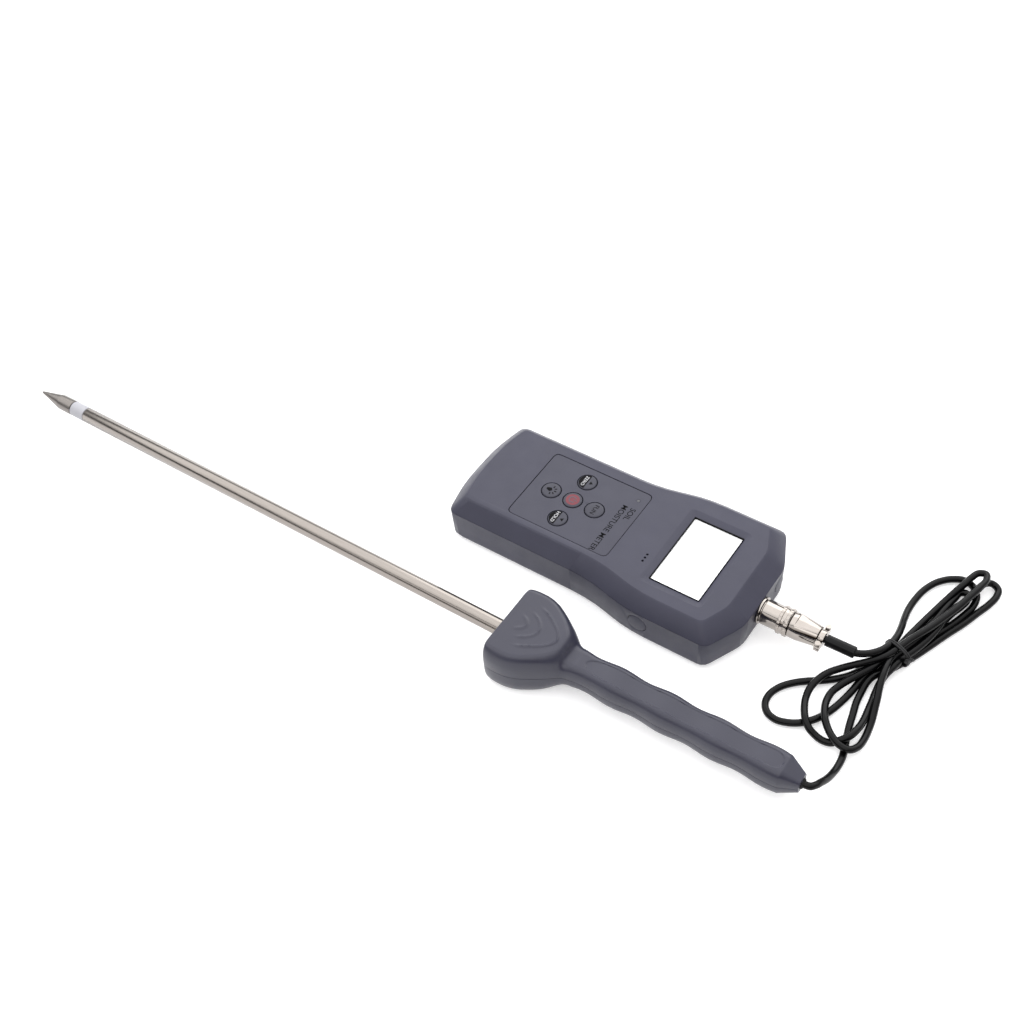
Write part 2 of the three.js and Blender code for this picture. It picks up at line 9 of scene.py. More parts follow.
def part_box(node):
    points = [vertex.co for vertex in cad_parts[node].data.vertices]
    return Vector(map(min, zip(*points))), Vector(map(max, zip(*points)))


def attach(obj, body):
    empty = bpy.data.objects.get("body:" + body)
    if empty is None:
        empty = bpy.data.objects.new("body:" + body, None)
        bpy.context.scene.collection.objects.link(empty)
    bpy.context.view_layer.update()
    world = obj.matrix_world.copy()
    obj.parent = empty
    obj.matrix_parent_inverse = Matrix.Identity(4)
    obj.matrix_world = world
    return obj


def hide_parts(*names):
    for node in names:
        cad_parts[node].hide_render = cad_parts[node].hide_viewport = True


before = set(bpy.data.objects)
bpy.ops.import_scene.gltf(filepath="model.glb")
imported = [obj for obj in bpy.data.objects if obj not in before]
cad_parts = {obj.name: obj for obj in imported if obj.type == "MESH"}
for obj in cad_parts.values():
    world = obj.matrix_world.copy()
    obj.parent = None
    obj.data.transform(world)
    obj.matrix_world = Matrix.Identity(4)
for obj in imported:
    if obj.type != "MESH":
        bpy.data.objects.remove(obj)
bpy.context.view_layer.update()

MM = 0.001
ROOT = "meter_and_probe"

# The meter's keypad end is 1 mm before the layout's zero, and the layout's Y is the meter's centre line.
rear_low, rear_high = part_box("rear_housing")
LAYOUT_X = rear_low[0] + 1 * MM
LAYOUT_Y = (rear_low[1] + rear_high[1]) / 2
OVERLAY_TOP_Z = 26.7
KEY_TOP_Z = 27.12
INK_Z = KEY_TOP_Z - 0.02
TITLE_START_Y = 9.4
PROBE_Y, PROBE_Z = -76.3, 13.0
TUBE_R = 4.2
CORD_D = 3.5
FLOOR_HALF = 6.0  # metres
FLOOR_DROP = 0.0003  # metres
FLAT_AREA = 250e-6  # faces larger than this, in square metres, are shaded flat


def at(x, y, z=0.0):
    """A point of the layout, in millimetres, as a point of the frame in metres."""
    return Vector((LAYOUT_X + x * MM, LAYOUT_Y + y * MM, z * MM))


# ---- camera and light ----
def camera():
    data = bpy.data.cameras.new("camera")
    data.lens = 52.73
    data.sensor_width = 36
    cam = bpy.data.objects.new("camera", data)
    cam.location = (0.3487, -0.3703, 0.585)
    cam.rotation_euler = [math.radians(a) for a in (40.674, 3.770, 34.283)]
    bpy.context.collection.objects.link(cam)
    bpy.context.scene.camera = cam


def softbox(name, place, target, size, power):
    data = bpy.data.lights.new(name, "AREA")
    data.shape = "RECTANGLE"
    data.size, data.size_y = size
    data.energy = power
    lamp = bpy.data.objects.new(name, data)
    lamp.location = place
    lamp.rotation_euler = (Vector(target) - Vector(place)).to_track_quat("-Z", "Y").to_euler()
    bpy.context.collection.objects.link(lamp)


# Brightness follows one slanted direction: full overhead and behind, dim low down in front.
SKY_LEAN = (-0.50, 0.50, 1.0)
SKY_SPAN = (-0.5, 1.0)
SKY_STRENGTH = 2.3
SKY_DARK = (0.03, 0.026, 0.024, 1)
# [share of the span, colour], with one thin dark flag between the low light and the overhead light.
SKY_STOPS = [
    (0.22, (0.035, 0.026, 0.020, 1)), (0.30, (0.42, 0.40, 0.38, 1)), (0.63, (0.66, 0.66, 0.665, 1)),
    (0.645, SKY_DARK), (0.675, SKY_DARK), (0.69, (0.72, 0.72, 0.725, 1)), (0.95, (1.0, 1.0, 1.0, 1)),
]
STRIP_HEIGHT = (0.22, 0.34)  # a dark strip all round fades out between these heights of the sky
STRIP_LEVEL = 0.05
WALL_HEIGHT = (0.085, 0.105)  # and a pale wall stands below these
WALL_COLOUR = (0.5, 0.5, 0.5, 1)


def sky():
    world = bpy.data.worlds.new("studio")
    bpy.context.scene.world = world
    world.use_nodes = True
    tree = world.node_tree
    link = tree.links.new
    way = tree.nodes.new("ShaderNodeTexCoord").outputs["Generated"]
    lean = tree.nodes.new("ShaderNodeVectorMath")
    lean.operation = "DOT_PRODUCT"
    lean.inputs[1].default_value = SKY_LEAN
    link(way, lean.inputs[0])
    ramp = tree.nodes.new("ShaderNodeValToRGB")
    while len(ramp.color_ramp.elements) < len(SKY_STOPS):
        ramp.color_ramp.elements.new(0.5)
    for element, (place, colour) in zip(ramp.color_ramp.elements, SKY_STOPS):
        element.position = place
        element.color = colour
    link(sky_share(tree, lean.outputs["Value"], SKY_SPAN), ramp.inputs["Fac"])
    height = tree.nodes.new("ShaderNodeSeparateXYZ")
    link(way, height.inputs["Vector"])
    dim = tree.nodes.new("ShaderNodeVectorMath")
    dim.operation = "SCALE"
    link(ramp.outputs["Color"], dim.inputs[0])
    link(sky_share(tree, height.outputs["Z"], STRIP_HEIGHT, STRIP_LEVEL), dim.inputs["Scale"])
    wall = tree.nodes.new("ShaderNodeMix")
    wall.data_type = "RGBA"
    wall.inputs["A"].default_value = WALL_COLOUR
    link(sky_share(tree, height.outputs["Z"], WALL_HEIGHT), wall.inputs["Factor"])
    link(dim.outputs["Vector"], wall.inputs["B"])
    background = tree.nodes["Background"]
    background.inputs["Strength"].default_value = SKY_STRENGTH
    link(wall.outputs["Result"], background.inputs["Color"])


def sky_share(tree, source, span, floor_level=0.0):
    """Maps a span of the source to a share from the floor level to one."""
    made = tree.nodes.new("ShaderNodeMapRange")
    made.inputs["From Min"].default_value = span[0]
    made.inputs["From Max"].default_value = span[1]
    made.inputs["To Min"].default_value = floor_level
    tree.links.new(source, made.inputs["Value"])
    return made.outputs["Result"]


def studio():
    sky()
    bpy.context.scene.view_settings.view_transform = "Standard"
    softbox("back_box", (-0.1, 1.0, 0.75), (0.05, 0.0, 0.0), (1.4, 0.8), 3.5)
    softbox("front_fill", (0.3, -0.9, 1.1), (0.05, -0.05, 0.0), (1.2, 0.5), 2)
    floor = bpy.data.meshes.new("floor")
    corners = [(x * FLOOR_HALF, y * FLOOR_HALF, 0) for x, y in ((-1, -1), (1, -1), (1, 1), (-1, 1))]
    floor.from_pydata(corners, [], [(0, 1, 2, 3)])
    ground = bpy.data.objects.new("floor", floor)
    bpy.context.collection.objects.link(ground)
    ground.location.z = -FLOOR_DROP
    pale = Paint("pale_floor")
    pale.set(base=(0.74, 0.74, 0.745), rough=0.8)
    pale.speckle(3.0, 0.01)
    pale.shader.inputs["Emission Color"].default_value = (1, 1, 1, 1)
    pale.shader.inputs["Emission Strength"].default_value = 0.42
    floor.materials.append(pale.material)


# ---- materials ----
class Paint:
    """A procedural material: one principled shader with noise on colour, roughness and bump."""

    def __init__(self, name):
        self.material = bpy.data.materials.new(name)
        self.material.use_nodes = True
        self.tree = self.material.node_tree
        self.shader = self.tree.nodes["Principled BSDF"]
        self.place = self.tree.nodes.new("ShaderNodeTexCoord").outputs["Object"]

    def node(self, kind, **inputs):
        made = self.tree.nodes.new(kind)
        for key, value in inputs.items():
            made.inputs[key].default_value = value
        return made

    def link(self, source, target):
        self.tree.links.new(source, target)

    def set(self, base, rough, metal=0.0, specular=0.5):
        self.base = (*base, 1)
        self.rough = rough
        self.shader.inputs["Base Color"].default_value = self.base
        self.shader.inputs["Roughness"].default_value = rough
        self.shader.inputs["Metallic"].default_value = metal
        self.shader.inputs["Specular IOR Level"].default_value = specular

    def noise(self, scale, detail, stretch=None):
        made = self.node("ShaderNodeTexNoise", Scale=scale, Detail=detail)
        if stretch:
            mapping = self.tree.nodes.new("ShaderNodeMapping")
            mapping.inputs["Scale"].default_value = stretch
            self.link(self.place, mapping.inputs["Vector"])
            self.link(mapping.outputs["Vector"], made.inputs["Vector"])
        else:
            self.link(self.place, made.inputs["Vector"])
        return made.outputs["Fac"]

    def ramp(self, source, low, high, start=0.3, stop=0.7):
        made = self.node("ShaderNodeMapRange")
        made.inputs["From Min"].default_value = start
        made.inputs["From Max"].default_value = stop
        made.inputs["To Min"].default_value = low
        made.inputs["To Max"].default_value = high
        self.link(source, made.inputs["Value"])
        return made.outputs["Result"]

    def speckle(self, scale, amount, stretch=None):
        """Lets the colour wander by a small amount."""
        mix = self.tree.nodes.new("ShaderNodeMix")
        mix.data_type = "RGBA"
        mix.inputs["A"].default_value = [c * (1 - amount) for c in self.base[:3]] + [1]
        mix.inputs["B"].default_value = [min(1, c * (1 + amount)) for c in self.base[:3]] + [1]
        self.link(self.ramp(self.noise(scale, 4.0, stretch), 0, 1), mix.inputs["Factor"])
        self.link(mix.outputs["Result"], self.shader.inputs["Base Color"])

    def wear(self, scale, spread, stretch=None):
        """Lets the gloss wander about its mean."""
        source = self.noise(scale, 4.0, stretch)
        gloss = self.ramp(source, self.rough - spread, self.rough + spread)
        self.link(gloss, self.shader.inputs["Roughness"])

    def grain(self, scale, strength, depth, stretch=None):
        """Fine surface relief."""
        bump = self.node("ShaderNodeBump", Strength=strength, Distance=depth)
        self.link(self.noise(scale, 2.0, stretch), bump.inputs["Height"])
        self.link(bump.outputs["Normal"], self.shader.inputs["Normal"])


def plastic(name, base, rough, grain=0.22, specular=0.3):
    paint = Paint(name)
    paint.set(base, rough, specular=specular)
    paint.speckle(60, 0.05)
    paint.wear(140, 0.05)
    paint.grain(2600, grain, 0.00012)
    return paint.material


def metal(name, base, rough, brushed=None):
    paint = Paint(name)
    paint.set(base, rough, metal=1.0)
    paint.speckle(90, 0.06, brushed)
    paint.wear(400, 0.05, brushed)
    paint.grain(1500, 0.08, 0.00005, brushed)
    return paint.material


def cable_sheath(name, base, rough):
    paint = Paint(name)
    paint.set(base, rough, specular=0.16)
    paint.speckle(120, 0.25)
    paint.wear(220, 0.07)
    paint.grain(900, 0.1, 0.0001)
    return paint.material


MAT = {}


def make_materials():
    MAT["slate"] = plastic("slate_abs", (0.038, 0.038, 0.059), 0.42)
    MAT["grip"] = plastic("grip_abs", (0.027, 0.027, 0.044), 0.33, specular=0.42)
    MAT["overlay"] = plastic("overlay_film", (0.038, 0.038, 0.057), 0.42, 0.1)
    MAT["key"] = plastic("key_grey", (0.036, 0.036, 0.051), 0.42, 0.1)
    MAT["key_red"] = plastic("key_red", (0.15, 0.028, 0.040), 0.42, 0.1)
    MAT["key_ring"] = plastic("key_ring", (0.06, 0.065, 0.085), 0.4, 0.1)
    # Black print ink; the same black also paints the shade in the window recess and the overlay gap.
    MAT["black_ink_and_painted_shade"] = plastic("black_ink_and_painted_shade", (0.003, 0.003, 0.004), 0.6, 0.05, 0.08)
    MAT["ink_white"] = plastic("ink_white", (0.48, 0.48, 0.50), 0.5, 0.05)
    MAT["black"] = plastic("black_abs", (0.008, 0.008, 0.009), 0.5)
    MAT["white"] = plastic("white_nylon", (0.37, 0.37, 0.40), 0.4, 0.1)
    MAT["lamp"] = plastic("frosted_lens", (0.09, 0.09, 0.10), 0.35, 0.1)
    MAT["window"] = plastic("window_white", (0.93, 0.935, 0.94), 0.3, 0.02)
    MAT["nickel"] = metal("nickel_plate", (0.35, 0.32, 0.295), 0.06)
    MAT["steel"] = metal("satin_steel", (0.27, 0.245, 0.225), 0.16, (1.5, 40, 40))
    MAT["dark_steel"] = metal("dark_steel", (0.19, 0.175, 0.165), 0.26, (2, 40, 40))
    MAT["screw"] = metal("zinc_screw", (0.34, 0.33, 0.32), 0.3)
    MAT["sheath"] = cable_sheath("cable_sheath", (0.0015, 0.0015, 0.0018), 0.2)
    MAT["sleeve"] = cable_sheath("heat_shrink", (0.002, 0.002, 0.0025), 0.36)
    MAT["rubber"] = cable_sheath("dark_rubber", (0.01, 0.01, 0.011), 0.6)
    MAT["board"] = plastic("solder_mask", (0.012, 0.10, 0.037), 0.35, 0.1)
    MAT["cell"] = plastic("cell_wrap", (0.05, 0.10, 0.22), 0.3, 0.05)


# ---- mesh helpers ----
def publish(name, mesh, material, body=ROOT, nodes=()):
    """Turns a mesh or curve into a piece that rides on a body."""
    piece = bpy.data.objects.new(name, mesh)
    bpy.context.collection.objects.link(piece)
    if not mesh.materials:
        mesh.materials.append(material)
    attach(piece, body)
    if nodes:
        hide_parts(*nodes)
    return piece


def smooth(mesh, degrees=32):
    for polygon in mesh.polygons:
        polygon.use_smooth = True
    work = bmesh.new()
    work.from_mesh(mesh)
    limit = math.radians(degrees)
    for edge in work.edges:
        edge.smooth = len(edge.link_faces) == 2 and edge.calc_face_angle(0) < limit
    work.to_mesh(mesh)
    work.free()


def softened(node, width, material, segments=2, body=ROOT, corner=28):
    """A copy of a CAD node with its flat facets merged and its edges rounded."""
    mesh = bpy.data.objects[node].data.copy()
    mesh.materials.clear()
    work = bmesh.new()
    work.from_mesh(mesh)
    bmesh.ops.remove_doubles(work, verts=work.verts, dist=2e-6)
    bmesh.ops.dissolve_limit(work, angle_limit=math.radians(0.6), verts=work.verts, edges=work.edges)
    work.to_mesh(mesh)
    work.free()
    piece = publish(f"{node}_moulded", mesh, material, body, (node,))
    bevel = piece.modifiers.new("bevel", "BEVEL")
    bevel.width = width * MM
    bevel.segments = segments
    bevel.limit_method = "ANGLE"
    bevel.angle_limit = math.radians(corner)
    depsgraph = bpy.context.evaluated_depsgraph_get()
    made = bpy.data.meshes.new_from_object(piece.evaluated_get(depsgraph))
    piece.modifiers.clear()
    piece.data = made
    smooth(made, 30)
    for polygon in made.polygons:
        if polygon.area > FLAT_AREA:
            polygon.use_smooth = False
    return piece


def skin(rings, closed_ends=True):
    """A mesh through rings of points, each ring closed on itself."""
    count = len(rings[0])
    points = [p for ring in rings for p in ring]
    faces = []
    for k in range(len(rings) - 1):
        for i in range(count):
            j = (i + 1) % count
            a, b = k * count, (k + 1) * count
            faces.append((a + i, a + j, b + j, b + i))
    if closed_ends:
        faces.append(tuple(reversed(range(count))))
        last = (len(rings) - 1) * count
        faces.append(tuple(range(last, last + count)))
    mesh = bpy.data.meshes.new("skin")
    mesh.from_pydata(points, [], faces)
    work = bmesh.new()
    work.from_mesh(mesh)
    bmesh.ops.recalc_face_normals(work, faces=work.faces)
    work.to_mesh(mesh)
    work.free()
    return mesh


def lathe_x(profile, y, z, segments=64):
    """A closed solid of revolution about a line along X; profile points are [x, radius]."""
    rings = []
    for x, r in profile:
        turn = [2 * math.pi * i / segments for i in range(segments)]
        rings.append([at(x, y + max(r, 0.01) * math.cos(t), z + max(r, 0.01) * math.sin(t)) for t in turn])
    return skin(rings)


def wire(name, points, radius, material, body=ROOT, nodes=(), order=4):
    """A round wire or cord through points, as one smooth spline."""
    curve = bpy.data.curves.new(name, "CURVE")
    curve.dimensions = "3D"
    spline = curve.splines.new("BEZIER")
    spline.bezier_points.add(len(points) - 1)
    spline.resolution_u = 8
    for point, place, (back, ahead) in zip(spline.bezier_points, points, cord_tangents(points)):
        point.co = place
        point.handle_left_type = point.handle_right_type = "FREE"
        point.handle_left = place - back
        point.handle_right = place + ahead
    curve.bevel_depth = radius * MM
    curve.bevel_resolution = order
    curve.use_fill_caps = True
    return publish(name, curve, material, body, nodes)


def cord_tangents(points):
    """Handles that keep the bend even: a third of each span along the centripetal tangent."""
    line = [points[0] * 2 - points[1], *points, points[-1] * 2 - points[-2]]
    handles = []
    for before, here, after in zip(line, points, line[2:]):
        a = (here - before).length
        b = (after - here).length
        way = ((here - before) / a * b + (after - here) / b * a).normalized()
        handles.append((way * a / 3, way * b / 3))
    return handles


# ---- cord ----
# The route, in layout millimetres: out of the plug, through the tied loops, and into the handle.
CORD_ROUTE = [
    # out of the plug
    (191.8, -2.57, 12.17), (196, -2.27, 11.87), (203, -1.78, 11.38), (210.3, -1.27, 10.87), (214, 1, 10.3),
    (217, 4.1, 9.8), (219.3, 7.6, 9.4),
    # first far loop
    (221.2, 12.9, 8.9), (221.7, 18.9, 8), (220.9, 26.1, 6), (219.5, 33.2, 3.8), (218.4, 41, 2.1),
    (218.6, 48.3, 1.9), (220.1, 56.3, 1.9), (223.5, 63.4, 1.9), (228.7, 68.5, 1.9), (233.7, 70.6, 1.9),
    (238.9, 69, 1.9), (242.5, 64.5, 1.9), (243.4, 58.1, 1.9), (241.9, 51, 1.9), (239, 42.3, 1.9),
    (234.4, 31.8, 1.9), (230.1, 21.6, 1.9),
    # first near loop
    (226.1, 12.5, 1.9), (222.6, 6.2, 1.9), (219.1, 0.6, 1.9), (217.2, -6.4, 1.9), (216.4, -14, 1.9),
    (215.1, -21.5, 1.9), (213.3, -28.4, 1.9), (210.8, -34.5, 1.9), (207.6, -39.2, 1.9), (203.9, -42.9, 1.9),
    (199.2, -45.6, 1.9), (193.8, -46.9, 1.9), (189, -45.5, 1.9), (186.1, -42, 1.9), (185.3, -36.5, 1.9),
    (187.2, -30.8, 1.9), (191.5, -25.2, 1.9), (196.6, -20.8, 1.9), (202, -17.1, 1.9), (207.2, -12.8, 1.9),
    (211.5, -8, 1.9), (214.8, -2, 1.9), (217.4, 4.2, 1.9), (219.9, 9.9, 1.9),
    # second far loop
    (222.3, 14.2, 1.9), (223.8, 20.2, 1.9), (225.2, 27, 1.9), (226.9, 35.6, 1.9), (228.8, 44.6, 1.9),
    (230.8, 52.8, 2.4), (233, 59.8, 3.8), (235.2, 65.8, 5.3), (236.6, 71.2, 5.6), (238.4, 75, 5.7),
    (241.4, 75.9, 6.2), (243.3, 72.4, 7.2), (242.8, 65.6, 8.4), (240.9, 57, 8.7), (238.6, 48.3, 8.6),
    (235.7, 39.7, 8.6), (231.7, 28.9, 8.7), (227.9, 20.2, 8.8),
    # second near loop
    (225.2, 12.6, 8.8), (222.9, 7.4, 8.3), (220.2, 3.8, 7.8), (216.1, -0.2, 7), (211.5, -4.3, 6),
    (207.1, -8.8, 5.4), (203.3, -14.1, 5.4), (201.1, -19.8, 5.4), (200.1, -25.5, 4.8), (200.7, -30.8, 4.2),
    (203.1, -37, 4.8), (206.2, -42, 5.3), (209.4, -44.7, 4.4), (212.8, -45.5, 2.8), (216.7, -45.8, 1.9),
    (220.9, -44.9, 2.2), (224.1, -42.7, 4.4), (226.5, -39.9, 5.3), (227.9, -34.7, 5.2), (228, -28.5, 3.8),
    (227.2, -21.9, 2.4), (226.4, -15.6, 1.9), (225.6, -10.1, 1.9), (225.3, -5.3, 2.8), (225.7, -1.2, 4.2),
    (227.1, 4.4, 5.1),
    # third far loop
    (228.7, 11.1, 5.3), (231.2, 17.6, 5.3), (233.4, 24.8, 5.4), (234.8, 31.5, 5.4), (235.4, 37, 4.8),
    (235.7, 42.5, 3), (236.8, 49.4, 1.9), (238.8, 55.4, 1.9), (239.5, 60.2, 1.9), (238.1, 63.6, 1.9),
    (235.5, 62.9, 1.9), (234.2, 58, 1.9), (232.9, 49.5, 1.9), (231.6, 40.3, 1.9), (229.2, 30.8, 2.9),
    (226.2, 21.8, 4.2),
    # third near loop
    (223, 13.8, 5.3), (221.2, 5.8, 5.1), (219.2, -0.4, 5.2), (216, -6.5, 5), (213.2, -12.2, 5),
    (210.8, -17, 4.4), (209.2, -21.5, 3.8), (209.2, -26.6, 3.8), (210.8, -32.2, 4.8), (213.3, -37, 5.4),
    (216.3, -40.5, 5.2), (220.5, -44.1, 5.6), (225.1, -46.2, 5.5), (229.3, -46, 5.2), (231.7, -42.2, 3.8),
    (232.2, -36.2, 2.4), (231.6, -29.9, 2), (230.7, -24.4, 2.6), (229.5, -19.6, 4), (228.4, -15.2, 5.6),
    (227.2, -11.2, 6.8), (226.1, -6.7, 7.6), (225.1, -0.6, 7.7), (224.6, 6.7, 6.6),
    # fourth far loop
    (225.9, 12.5, 5.3), (228.7, 20.7, 5.6), (231.4, 30.6, 5.3), (234.6, 42, 5.5), (237.1, 49.5, 5.3),
    (239.5, 56.5, 5.2), (240.8, 62.9, 5.2), (241.8, 67.9, 4.8), (243.2, 72.3, 3.8), (246, 75.1, 2.4),
    (249.4, 73.7, 1.9), (250.4, 69.3, 1.9), (249.4, 63.4, 1.9), (246.9, 56, 1.9), (243.7, 46.5, 1.9),
    (239.5, 36.3, 1.9), (235.6, 26, 1.9), (232.2, 17.5, 1.9),
    # on to the handle
    (229.4, 11.6, 1.9), (226.6, 6.1, 2.1), (223.6, 0.7, 2.4), (221.3, -3, 2.9), (220.1, -7.7, 2.7),
    (220.1, -13.3, 1.9), (220.7, -19.8, 1.9), (222, -25.7, 1.9), (223.4, -32.1, 1.9), (225, -38, 1.9),
    (226.8, -44, 1.9), (228.1, -49, 1.9), (228.6, -54.5, 2.4), (228.5, -60.3, 4.2), (228.2, -65.6, 7.2),
    (227.4, -70, 10), (226.4, -73.6, 11.9), (224.9, -75.8, 12.8), (223.1, PROBE_Y, PROBE_Z),
    (220, PROBE_Y, PROBE_Z),
]


def cord(plug_metal):
    """One cord from the plug to the handle, and the tie on it; the plug's pieces that it is given are not
    used.
    """
    points = [at(*p) for p in CORD_ROUTE]
    solids = ("cord_lead_meter", "cord_bundle", "cord_lead_probe")
    lead = wire("cord", points, CORD_D / 2, MAT["sheath"], ROOT, solids)
    band = twist_tie()


TIE = {
    "middle": (225.5, 12.4, 5.75), "across": (0.95, -0.31, 0), "along": (0.31, 0.95, 0),
    "half_width": 7.0, "half_height": 5.15, "squareness": 0.75, "turns": 1.8, "start": -50, "pitch": 1.8,
    "radius": 0.5,
}
TIE_STEPS = 44
# The twisted ends: where they start beside the tie's middle, how far each step goes, and their swirl.
TAIL_START, TAIL_STEP, TAIL_POINTS = (7.5, 0.7, 2.4), (-0.05, -0.45, 0.12), 11
TAIL_R, TAIL_TURN = 0.45, 1.4


def squared(value, power):
    return math.copysign(abs(value) ** power, value)


def twist_tie():
    """A thin plastic-covered wire wound round the waist of the loops, with its ends twisted together."""
    across, along, middle = (Vector(TIE[key]) for key in ("across", "along", "middle"))
    points = []
    for i in range(TIE_STEPS + 1):
        share = i / TIE_STEPS
        turn = math.radians(TIE["start"]) + 2 * math.pi * TIE["turns"] * share
        side = TIE["half_width"] * squared(math.cos(turn), TIE["squareness"])
        lift = TIE["half_height"] * squared(math.sin(turn), TIE["squareness"])
        points.append(middle + across * side + along * TIE["pitch"] * (share - 0.5) + Vector((0, 0, lift)))
    for i in range(TAIL_POINTS):
        turn = i * TAIL_TURN
        side, ahead, lift = (start + i * step for start, step in zip(TAIL_START, TAIL_STEP))
        swirl = Vector((TAIL_R * math.cos(turn), 0, TAIL_R * math.sin(turn)))
        points.append(middle + across * side + along * ahead + Vector((0, 0, lift)) + swirl)
    points = [at(*p) for p in points]
    return wire("twist_tie_wire", points, TIE["radius"], MAT["black"], ROOT, ("twist_tie",), order=3)


# ---- meter ----
def meter():
    softened("front_housing", 0.55, MAT["slate"], segments=3)
    softened("rear_housing", 0.4, MAT["slate"])
    softened("keypad_overlay", 0.12, MAT["overlay"])
    for node in ("side_port_plug", "end_port_plug"):
        softened(node, 0.2, MAT["slate"])
    softened("battery_door", 0.25, MAT["slate"], body="battery_door_body")
    softened("display_window", 0.15, MAT["window"])
    # Painted shade: a black lining on the window's recess walls stands in for the shadow inside the recess.
    painted_shade_line("window_recess_painted_shade", "display_window", 0, (0.13, -0.25), (0, 1.05))
    # Painted shade: a black line round the keypad overlay stands in for the shadow in its gap.
    painted_shade_line("overlay_gap_painted_shade", "keypad_overlay", 2.8, (0.3, 0.04), (-0.7, -0.2))


def painted_shade_line(name, node, corner, grows, lifts):
    """A thin black line round a node, between two outlines and two heights from its top: painted shade where
    a recess wall or gap lies in shadow.
    """
    (x0, y0, _), (x1, y1, top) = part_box(node)
    outer, inner = grows
    low, high = (top + lift * MM for lift in lifts)
    loops = []
    for grow, z in ((outer, low), (outer, high), (inner, high), (inner, low)):
        loop = []
        radius = max(corner + grow, 0.05) * MM
        for k, (cx, cy) in enumerate(((x1, y1), (x0, y1), (x0, y0), (x1, y0))):
            sx, sy = (1, -1, -1, 1)[k], (1, 1, -1, -1)[k]
            mid = Vector((cx + sx * (grow * MM - radius), cy + sy * (grow * MM - radius)))
            for i in range(7):
                turn = math.radians(90 * k + 15 * i)
                loop.append(Vector((mid.x + radius * math.cos(turn), mid.y + radius * math.sin(turn), z)))
        loops.append(loop)
    publish(name, skin(loops + loops[:1], closed_ends=False), MAT["black_ink_and_painted_shade"])


def keys():
    for node in ("button_power", "button_backlight", "button_function", "button_up", "button_down"):
        round_key(node, key_centre(node))
    print_legends()


def round_key(node, centre):
    """A slightly crowned round key with a fine turned edge."""
    profile = [(22.8, 0.01), (22.8, 5.7), (23.7, 5.7), (23.7, 4.8), (26.55, 4.8), (26.8, 4.72), (26.98, 4.5),
               (27.05, 4.1), (27.08, 3.0), (KEY_TOP_Z, 0.01)]
    segments = 56
    rings = []
    for z, r in profile:
        turn = [2 * math.pi * i / segments for i in range(segments)]
        rings.append([Vector((centre[0] + r * MM * math.cos(t), centre[1] + r * MM * math.sin(t), z * MM))
                      for t in turn])
    mesh = skin(rings)
    smooth(mesh, 35)
    publish(f"{node}_cap", mesh, MAT["key"], f"{node}_body", (node,))


def flat_shape(name, outline, z, material, body, thickness=0.05):
    """A thin printed mark: a filled outline lying on a face."""
    count = len(outline)
    low = [Vector((x, y, z * MM)) for x, y in outline]
    high = [Vector((x, y, (z + thickness) * MM)) for x, y in outline]
    faces = [tuple(reversed(range(count))), tuple(range(count, 2 * count))]
    faces += [(i, (i + 1) % count, count + (i + 1) % count, count + i) for i in range(count)]
    mesh = bpy.data.meshes.new(name)
    mesh.from_pydata(low + high, [], faces)
    return publish(name, mesh, material, body)


def lettering(name, words, centre, height, z, material, body, wide=1.0, side="CENTER"):
    """Printed words that read with their top towards +X."""
    text = bpy.data.curves.new(name, "FONT")
    text.body = words
    text.size = height * MM
    text.align_x = side
    text.align_y = "CENTER"
    text.extrude = 0.025 * MM
    text.offset = 0.004 * height * MM
    holder = bpy.data.objects.new(name, text)
    bpy.context.collection.objects.link(holder)
    depsgraph = bpy.context.evaluated_depsgraph_get()
    mesh = bpy.data.meshes.new_from_object(holder.evaluated_get(depsgraph))
    bpy.data.objects.remove(holder)
    turn = Matrix.Rotation(-math.pi / 2, 4, "Z") @ Matrix.Diagonal((wide, 1, 1, 1))
    mesh.transform(Matrix.Translation((centre[0], centre[1], z * MM)) @ turn)
    mesh.name = name
    mesh.materials.clear()
    return publish(name, mesh, material, body)


def arc(centre, radius, start, stop, steps=20):
    turns = [start + (stop - start) * i / steps for i in range(steps + 1)]
    return [(centre[0] + radius * MM * math.cos(t), centre[1] + radius * MM * math.sin(t)) for t in turns]


def band(centre, inner, outer, start, stop, steps=28):
    back = arc(centre, inner, start, stop, steps)
    return arc(centre, outer, start, stop, steps) + back[::-1]


def key_centre(node):
    (x0, y0, _), (x1, y1, _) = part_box(node)
    return (x0 + x1) / 2, (y0 + y1) / 2


def print_legends():
    for node, words, tip in (("button_up", "ZERO", 1), ("button_down", "HOLD", -1)):
        print_arrow_key(node, words, tip)
    lettering("function_legend", "FUN", key_centre("button_function"), 3.3, INK_Z, MAT["black_ink_and_painted_shade"],
              "button_function_body")
    print_lamp_key()
    print_power_key()
    for name, words, x in (("title_top", "SOIL", 85.0), ("title_bottom", "MOISTURE METER", 80.6)):
        lettering(name, words, at(x, TITLE_START_Y), 4.1, OVERLAY_TOP_Z, MAT["black_ink_and_painted_shade"], ROOT, side="LEFT")


def around(centre, offsets):
    """An outline given in millimetres from a centre."""
    return [(centre[0] + x * MM, centre[1] + y * MM) for x, y in offsets]


def print_arrow_key(node, words, tip):
    """Black on the half towards the keypad end, with the word in white on it, and a small arrow beyond."""
    body = f"{node}_body"
    centre = key_centre(node)
    edge = math.radians(88)
    flat_shape(f"{node}_shade", arc(centre, 4.35, edge, 2 * math.pi - edge), INK_Z, MAT["black_ink_and_painted_shade"], body)
    middle = (centre[0] - 1.5 * MM, centre[1])
    lettering(f"{node}_legend", words, middle, 2.5, INK_Z + 0.07, MAT["ink_white"], body, 1.05)
    arrow = around(centre, [(2.2 + tip * 0.9, 0), (2.2 - tip * 0.8, 1.1), (2.2 - tip * 0.8, -1.1)])
    if tip < 0:
        arrow.reverse()
    flat_shape(f"{node}_arrow", arrow, INK_Z, MAT["black_ink_and_painted_shade"], body)


